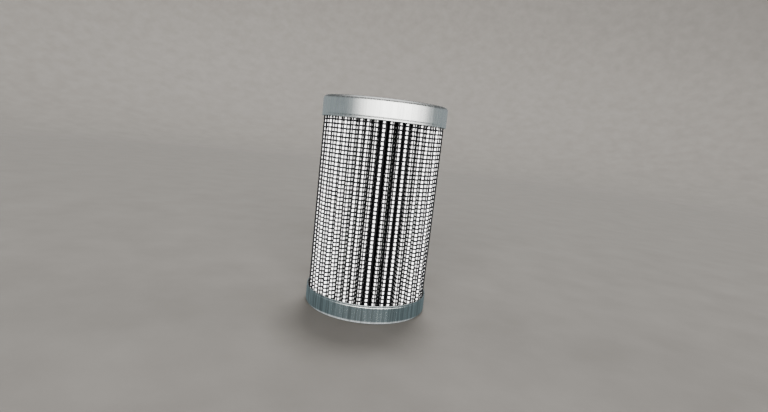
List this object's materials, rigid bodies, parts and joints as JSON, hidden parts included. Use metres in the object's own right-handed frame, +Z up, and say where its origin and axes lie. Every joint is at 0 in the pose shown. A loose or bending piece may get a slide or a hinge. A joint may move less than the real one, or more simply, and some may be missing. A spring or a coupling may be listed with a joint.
{
  "type": "pleated filter element",
  "caption": "Cylindrical pleated filter element: wire-backed pleat pack between two pressed end caps, perforated core inside, sealed neck in one end.",
  "frame": {"origin": "centre of the closed end's flat annulus, the face the element stands on", "axes": "+Z up the element's axis, out of the open end; -Y towards the side shown; +X to that side's right"},
  "size_m": [0.05, 0.05, 0.084],
  "materials": {
    "open_cap_plate": "drawn zinc-plated sheet, satin with fine draw marks",
    "closed_cap_plate": "drawn zinc-plated sheet, satin with fine draw marks",
    "core_plate": "perforated zinc-plated sheet",
    "outer_mesh": "black epoxy-coated wire cloth, satin",
    "outer_fleece": "thin spun-bonded fleece",
    "media": "resin-bonded glass fibre, matt",
    "inner_fleece": "thin spun-bonded fleece",
    "inner_mesh": "fine plain-weave wire cloth",
    "clip": "folded steel strip",
    "potting": "cured epoxy",
    "seal": "moulded nitrile, smooth"
  },
  "bodies": {
    "root": {"open_end_cap": "open_cap_plate", "closed_end_cap": "closed_cap_plate", "core_tube": "core_plate", "outer_support_mesh": "outer_mesh", "outer_fleece": "outer_fleece", "filter_media": "media", "inner_fleece": "inner_fleece", "inner_support_mesh": "inner_mesh", "seam_clip": "clip", "lower_potting": "potting", "upper_potting": "potting", "seal_ring": "seal"}
  },
  "joints": []
}
